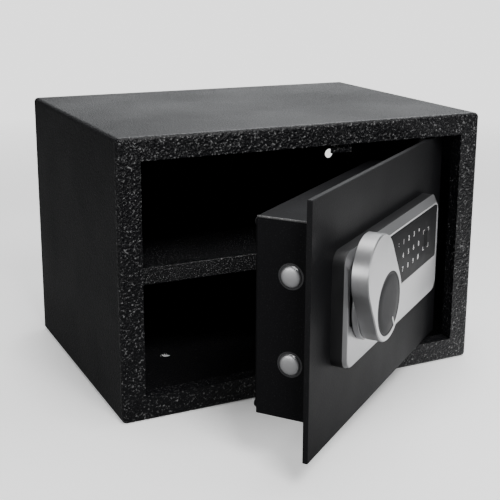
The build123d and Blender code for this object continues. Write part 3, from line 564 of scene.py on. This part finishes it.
# ---- lock panel ----
class SAFE_OT_lock_panel(bpy.types.Operator):
    """Moulds the lock panel's base, silver cover and touch field"""

    bl_idname = "safe.lock_panel"
    bl_label = "Lock Panel"

    def execute(self, context):
        look = context.scene.safe_paint
        size = context.scene.safe_panel
        black = plastic_material("PanelBlack", (0.014, 0.014, 0.015), 0.42, 0.0006, 0.00004)
        silver = self.lacquer(look.silver)
        field = plastic_material("TouchField", look.window, 0.50, 0.0008, 0.00001, specular=0.12)
        place = on_face(size.centre_x, size.centre_z, 0)
        base = rounded_block(size.width, size.height, size.base, size.corner)
        soften(base, [e for e in base.edges if at_height(e, size.base)], 0.0008)
        settle(base, "panel_base_moulding", black, "door", place, ("panel_base",))
        settle(self.cover(size), "panel_cover_moulding", silver, "door",
               place @ Matrix.Translation((0, 0, size.base)), ("panel_cover",))
        settle(self.field(size), "touch_field", field, "door",
               place, ("keypad_window",))
        return {"FINISHED"}

    def lacquer(self, base):
        """Satin silver lacquer with a fine metal flake."""
        material, tree, shader, where = new_material("SilverLacquer", base, 0.34, metallic=0.85)
        flake = noise(tree, where, 2600.0, 1.0)
        marks = use_group(tree, handling(), where)
        light = tuple(min(1, c * 1.08) for c in base)
        tint(tree, shader, flake, tuple(c * 0.88 for c in base), light)
        rough = math_node(tree, "MULTIPLY", marks.outputs["Smear"], 0.06)
        tree.links.new(math_node(tree, "ADD", rough, 0.32), shader.inputs["Roughness"])
        bump(tree, shader, flake, 0.000012)
        return material

    def cover(self, size):
        """Cover with a sloping top edge and a sunk touch field."""
        thick = size.out - size.base
        bm = rounded_block(size.width, size.height, thick, size.corner)
        top = [v for v in bm.verts if v.co.z > thick / 2]
        wide = (size.width - 2 * size.side) / size.width
        tall = (size.height - size.side - size.shoulder) / size.height
        bmesh.ops.scale(bm, verts=top, vec=(wide, tall, 1))
        bmesh.ops.translate(bm, verts=top, vec=(0, (size.side - size.shoulder) / 2, 0))
        foot = size.field_low - size.centre_z - size.rim_top
        bmesh.ops.bisect_plane(
            bm, geom=bm.verts[:] + bm.edges[:] + bm.faces[:], plane_co=(0, foot, 0), plane_no=(0, 1, 0)
        )
        upper = [
            f for f in bm.faces
            if f.normal.z > 0.99 and f.calc_center_median().z > thick / 2 and f.calc_center_median().y > foot
        ]
        bmesh.ops.inset_region(bm, faces=upper, thickness=size.rim_top, use_even_offset=True)
        inner = list({v for f in upper for v in f.verts})
        half = max(abs(v.co.x) for v in inner)
        goal = size.width / 2 - size.side - size.rim_side
        bmesh.ops.scale(bm, verts=inner, vec=(goal / half, 1, 1))
        bmesh.ops.translate(bm, verts=inner, vec=(0, 0, -0.0006))
        rim = [
            e for e in bm.edges
            if at_height(e, thick) and any(abs(f.normal.z) < 0.98 and f.normal.z < 0.98 for f in e.link_faces)
            and not any(v in inner for f in e.link_faces for v in f.verts if f.normal.z < 0.98)
        ]
        soften(bm, rim, 0.0009)
        return bm

    def field(self, size):
        """Touch field, a thin pane in the cover's recess."""
        high = size.centre_z + size.height / 2 - size.shoulder - size.rim_top
        wide = size.width - 2 * (size.side + size.rim_side)
        pane = rounded_block(wide - 0.0002, high - size.field_low - 0.0002, 0.0006, 0.0028, 6)
        soften(pane, [e for e in pane.edges if at_height(e, 0.0006)], 0.0001, 2)
        middle = (high + size.field_low) / 2 - size.centre_z
        bmesh.ops.translate(pane, verts=pane.verts, vec=(0, middle, size.out - 0.00055))
        return pane


class SAFE_OT_keypad(bpy.types.Operator):
    """Prints the keypad's digits and its status window"""

    bl_idname = "safe.keypad"
    bl_label = "Keypad Marks"

    def execute(self, context):
        size = context.scene.safe_panel
        ink = plastic_material("PrintedInk", context.scene.safe_paint.marks, 0.5, 0.0004, 0.00001)
        glass = plastic_material("StatusGlass", (0.003, 0.003, 0.0035), 0.6, specular=0.1)
        marks = bmesh.new()
        for row, keys in enumerate(("123*", "4560", "789#")):
            for column, key in enumerate(keys):
                x = size.key_x + column * size.key_pitch_x
                z = size.key_z - row * size.key_pitch_z
                self.stamp(marks, key, size.digit, x, z)
        self.stamp(marks, ":", size.digit, size.key_x - 0.0121, size.key_z)
        settle(marks, "keypad_digits", ink, "door",
               on_face(0, 0, size.out + 0.00008), ("key_marks",))
        settle(self.brackets(size), "status_brackets", ink, "door",
               on_face(size.status_x, size.status_z, size.out), ("status_window",))
        lens = rounded_block(size.status_w * 0.62, size.status_h * 0.72, 0.0002, 0.001, 4)
        settle(lens, "status_lens", glass, "door",
               on_face(size.status_x, size.status_z, size.out))
        return {"FINISHED"}

    def stamp(self, bm, text, height, x, z):
        """Adds one raised character, centred on x, z."""
        curve = bpy.data.curves.new("mark", "FONT")
        curve.body = text
        curve.size = height * 1.4
        curve.offset = height * 0.02
        curve.extrude = 0.00006
        curve.align_x = "CENTER"
        carrier = bpy.data.objects.new("mark", curve)
        bpy.context.scene.collection.objects.link(carrier)
        bpy.context.view_layer.update()
        shaped = carrier.evaluated_get(bpy.context.evaluated_depsgraph_get())
        mesh = bpy.data.meshes.new_from_object(shaped)
        rows = [v.co.y for v in mesh.vertices]
        mesh.transform(Matrix.Translation((x, z - (min(rows) + max(rows)) / 2, 0)))
        bm.from_mesh(mesh)
        bpy.data.objects.remove(carrier)
        bpy.data.curves.remove(curve)
        bpy.data.meshes.remove(mesh)

    def brackets(self, size):
        """Four corner brackets round the status window."""
        bm = bmesh.new()
        line = 0.0005
        arm = 0.0035
        for sx in (-1, 1):
            for sz in (-1, 1):
                corner = Vector((sx * size.status_w / 2, sz * size.status_h / 2, 0.00010))
                for wide, tall in ((arm, line), (line, arm)):
                    bar = bmesh.ops.create_cube(bm, size=1)["verts"]
                    bmesh.ops.scale(bm, verts=bar, vec=(wide, tall, 0.00016))
                    shift = corner - Vector((sx * wide / 2, sz * tall / 2, 0))
                    bmesh.ops.translate(bm, verts=bar, vec=shift)
        return bm


# ---- knob ----
class SAFE_OT_knob(bpy.types.Operator):
    """Shapes the knob's grip, collar, cap and pointer"""

    bl_idname = "safe.knob"
    bl_label = "Knob"

    def execute(self, context):
        look = context.scene.safe_paint
        size = context.scene.safe_knob
        metal = metal_material("KnobSatin", look.knob, 0.38, (50, 2600, 50), 0.000004, spread=0.08)
        dark = plastic_material("CapGrey", look.cap, 0.55, 0.0005, 0.00003, specular=0.25)
        white = plastic_material("PointerWhite", context.scene.safe_paint.marks, 0.45)
        lean = Matrix.Rotation(size.lean, 4, "Z")
        back = size.out - size.thick
        place = on_face(KNOB_AXIS.x, KNOB_AXIS.z, back) @ lean
        settle(self.grip(size), "knob_grip", metal, "knob", place, ("knob_body",))
        low = context.scene.safe_panel.out + size.gap
        settle(self.collar(size, low), "knob_collar_ring", metal, "knob",
               on_face(KNOB_AXIS.x, KNOB_AXIS.z, 0), ("knob_collar",))
        settle(self.cap(size), "knob_cap_disc", dark, "knob",
               place @ Matrix.Translation((0, 0, size.thick)), ("knob_cap",))
        bar = rounded_block(0.0018, 0.0085, 0.0004, 0.0008, 4)
        bmesh.ops.translate(bar, verts=bar.verts, vec=(0, 0.0045 - size.cap, size.thick))
        settle(bar, "knob_pointer_bar", white, "knob", place, ("knob_pointer",))
        return {"FINISHED"}

    def egg(self, bm, size, steps, z):
        """Outline round the axis and the lobe, as a loop of edges."""
        loop = bmesh.ops.create_circle(bm, cap_ends=False, radius=size.end, segments=steps)["verts"]
        limit = (size.end - size.lobe) / size.reach
        far = [v for v in loop if v.co.y / size.end > limit]
        share = size.lobe / size.end
        bmesh.ops.scale(bm, verts=far, vec=(share, share, 1))
        bmesh.ops.translate(bm, verts=far, vec=(0, size.reach, 0))
        bmesh.ops.translate(bm, verts=loop, vec=(0, 0, z))
        return list({e for v in loop for e in v.link_edges})

    def close(self, bm, geom):
        """Fills the open loop at the end of an extruded wall."""
        loop = [e for e in geom if isinstance(e, bmesh.types.BMEdge) and e.is_boundary]
        bmesh.ops.edgeloop_fill(bm, edges=loop)

    def grip(self, size, steps=144):
        """Egg-shaped grip with bright bevels and a round seat for the cap."""
        bm = bmesh.new()
        front = self.egg(bm, size, steps, size.thick)
        seat = bmesh.ops.create_circle(bm, cap_ends=False, radius=size.cap + 0.0003, segments=steps)["verts"]
        bmesh.ops.translate(bm, verts=seat, vec=(0, 0, size.thick))
        ring = list({e for v in seat for e in v.link_edges})
        bmesh.ops.bridge_loops(bm, edges=front + ring)
        floor = bmesh.ops.extrude_edge_only(bm, edges=ring)["geom"]
        sunk = [g for g in floor if isinstance(g, bmesh.types.BMVert)]
        bmesh.ops.translate(bm, verts=sunk, vec=(0, 0, -0.002))
        self.close(bm, floor)
        side = bmesh.ops.extrude_edge_only(bm, edges=front)["geom"]
        low = [g for g in side if isinstance(g, bmesh.types.BMVert)]
        bmesh.ops.translate(bm, verts=low, vec=(0, 0, -size.thick))
        self.close(bm, side)
        bmesh.ops.recalc_face_normals(bm, faces=bm.faces)
        rims = [
            e for e in bm.edges
            if e.calc_face_angle(0) > 1.2 and max(v.co.xy.length for v in e.verts) > size.cap + 0.001
        ]
        soften(bm, rims, size.edge, 1)
        return bm

    def collar(self, size, low):
        """Turned collar between the grip and the panel."""
        high = size.out - size.thick
        return lathe((
            (0.012, low + 0.002), (size.collar - 0.003, low + 0.002), (size.collar - 0.003, low),
            (size.collar - 0.0006, low), (size.collar, low + 0.0006), (size.collar, high - 0.0004),
            (size.collar - 0.0004, high), (0, high),
        ), 144)

    def cap(self, size):
        """Slightly crowned cap with a fine groove inside its edge."""
        r = size.cap
        return lathe((
            (0, 0.0002), (r * 0.6, 0.00018), (r - 0.0024, 0.0001), (r - 0.0020, -0.0001),
            (r - 0.0016, 0.00005), (r - 0.0003, 0), (r, -0.0003), (r, -0.0019), (0, -0.0019),
        ), 144)


# ---- stage ----
class SAFE_OT_stage(bpy.types.Operator):
    """Lays the floor and sets the lights and the camera"""

    bl_idname = "safe.stage"
    bl_label = "Stage"

    def execute(self, context):
        stage = context.scene.safe_stage
        self.floor(stage)
        self.world(context)
        self.lamp("KeyLight", (-0.1, -1.2, 1.25), 0.5, stage.key)
        self.lamp("TopLight", (0.3, -0.1, 1.7), 1.6, stage.top)
        self.lamp("FillLight", (-1.4, -0.55, 0.4), 0.5, stage.fill)
        self.lamp("StripLight", (0.32, -1.25, 0.22), 0.25, stage.strip)
        self.camera(context)
        return {"FINISHED"}

    def floor(self, stage):
        material, tree, shader, where = new_material("PaleFloor", stage.floor, 0.8, specular=0.1)
        tone = noise(tree, where, 3.0, 2.0)
        tint(tree, shader, tone, tuple(c * 0.98 for c in stage.floor), stage.floor)
        path = add(tree, "ShaderNodeLightPath")
        seen = self.patch(tree, where, (0.1, 0, 0), 0.7, 1.5)
        near = self.patch(tree, where, (0.37, -0.02, 0), 0.20, 0.50, 0.10)
        mix = add(tree, "ShaderNodeMix", data_type="FLOAT")
        tree.links.new(path.outputs["Is Camera Ray"], mix.inputs[0])
        tree.links.new(near, mix.inputs[2])
        tree.links.new(seen, mix.inputs[3])
        tree.links.new(mix.outputs[0], shader.inputs["Alpha"])
        # Painted light: the floor glows with emission beyond about 0.24 m from the safe and not within 0.12
        # m, so it is lit brighter away from the safe than round it.
        floor_glow = self.patch(tree, where, (0, 0, 0), 0.24, 0.12)
        tree.links.new(floor_glow, shader.inputs["Emission Color"])
        shader.inputs["Emission Strength"].default_value = 0.7
        bm = bmesh.new()
        bmesh.ops.create_circle(bm, cap_ends=True, radius=9, segments=64)
        mesh = bpy.data.meshes.new("floor")
        bm.to_mesh(mesh)
        bm.free()
        mesh.materials.append(material)
        floor = bpy.data.objects.new("floor", mesh)
        bpy.context.scene.collection.objects.link(floor)

    def patch(self, tree, where, centre, full, gone, rest=0.0):
        """Round patch of floor that fades out between two radii."""
        away = add(tree, "ShaderNodeVectorMath", operation="DISTANCE")
        away.inputs[1].default_value = centre
        tree.links.new(where, away.inputs[0])
        return ramp(tree, away.outputs["Value"], full, gone, 1, rest)

    def world(self, context):
        """Surround that is bright behind the safe, dim elsewhere and white to the camera."""
        world = bpy.data.worlds.new("Surround")
        context.scene.world = world
        world.use_nodes = True
        tree = world.node_tree
        output = tree.nodes["World Output"]
        soft = tree.nodes["Background"]
        soft.inputs["Color"].default_value = (0.96, 0.98, 1.0, 1)
        where = add(tree, "ShaderNodeTexCoord")
        facing = add(tree, "ShaderNodeVectorMath", operation="DOT_PRODUCT")
        facing.inputs[1].default_value = Vector((0.56, 0.79, 0.26)).normalized()
        tree.links.new(where.outputs["Generated"], facing.inputs[0])
        glow = ramp(tree, facing.outputs["Value"], 0.78, 0.99, 0.06, 1.9)
        tree.links.new(glow, soft.inputs["Strength"])
        white = add(tree, "ShaderNodeBackground", {"Color": (1, 1, 1, 1), "Strength": 2.0})
        path = add(tree, "ShaderNodeLightPath")
        mix = add(tree, "ShaderNodeMixShader")
        tree.links.new(path.outputs["Is Camera Ray"], mix.inputs["Fac"])
        tree.links.new(soft.outputs[0], mix.inputs[1])
        tree.links.new(white.outputs[0], mix.inputs[2])
        tree.links.new(mix.outputs[0], output.inputs["Surface"])

    def lamp(self, name, place, size, power):
        light = bpy.data.lights.new(name, "AREA")
        light.shape = "SQUARE"
        light.size = size
        light.energy = power
        lamp = bpy.data.objects.new(name, light)
        lamp.location = place
        aim = Vector((0, -0.08, 0.1)) - Vector(place)
        lamp.rotation_mode = "QUATERNION"
        lamp.rotation_quaternion = aim.to_track_quat("-Z", "Y")
        bpy.context.scene.collection.objects.link(lamp)

    def camera(self, context):
        """Camera to the front left, a little above the safe."""
        azimuth, elevation, roll = (math.radians(a) for a in (-27.62, 14.13, 0.76))
        back = Vector((
            math.sin(azimuth) * math.cos(elevation), -math.cos(azimuth) * math.cos(elevation),
            math.sin(elevation),
        ))
        data = bpy.data.cameras.new("Camera")
        data.lens = 73.39
        data.shift_x = -0.0688
        data.shift_y = -0.0794
        camera = bpy.data.objects.new("Camera", data)
        turn = (-back).to_track_quat("-Z", "Y").to_matrix().to_4x4() @ Matrix.Rotation(roll, 4, "Z")
        camera.matrix_world = Matrix.Translation(Vector((0.0379, 0, 0.1327)) + back * 1.0131) @ turn
        context.scene.collection.objects.link(camera)
        context.scene.camera = camera


OPERATORS = (
    SAFE_OT_cabinet, SAFE_OT_door, SAFE_OT_lock_works, SAFE_OT_bolts, SAFE_OT_lock_panel,
    SAFE_OT_keypad, SAFE_OT_knob, SAFE_OT_stage,
)
GROUPS = {
    "safe_paint": SafePaint, "safe_panel": SafePanel, "safe_knob": SafeKnob, "safe_stage": SafeStage,
}


class SAFE_PT_panel(bpy.types.Panel):
    """Lists the safe's build steps and sizes"""

    bl_idname = "SAFE_PT_panel"
    bl_label = "Electronic Safe"
    bl_space_type = "VIEW_3D"
    bl_region_type = "UI"
    bl_category = "Safe"

    def draw(self, context):
        for step in OPERATORS:
            self.layout.operator(step.bl_idname)
        for name, group in GROUPS.items():
            box = self.layout.box()
            for prop in group.__annotations__:
                box.prop(getattr(context.scene, name), prop)


def register():
    for cls in (*GROUPS.values(), *OPERATORS, SAFE_PT_panel):
        bpy.utils.register_class(cls)
    for name, group in GROUPS.items():
        setattr(bpy.types.Scene, name, PointerProperty(type=group))


def unregister():
    for name in GROUPS:
        delattr(bpy.types.Scene, name)
    for cls in reversed((*GROUPS.values(), *OPERATORS, SAFE_PT_panel)):
        bpy.utils.unregister_class(cls)


def main():
    register()
    bpy.ops.safe.cabinet()
    bpy.ops.safe.door()
    bpy.ops.safe.lock_works()
    bpy.ops.safe.bolts()
    bpy.ops.safe.lock_panel()
    bpy.ops.safe.keypad()
    bpy.ops.safe.knob()
    bpy.ops.safe.stage()


if __name__ == "__main__":
    main()
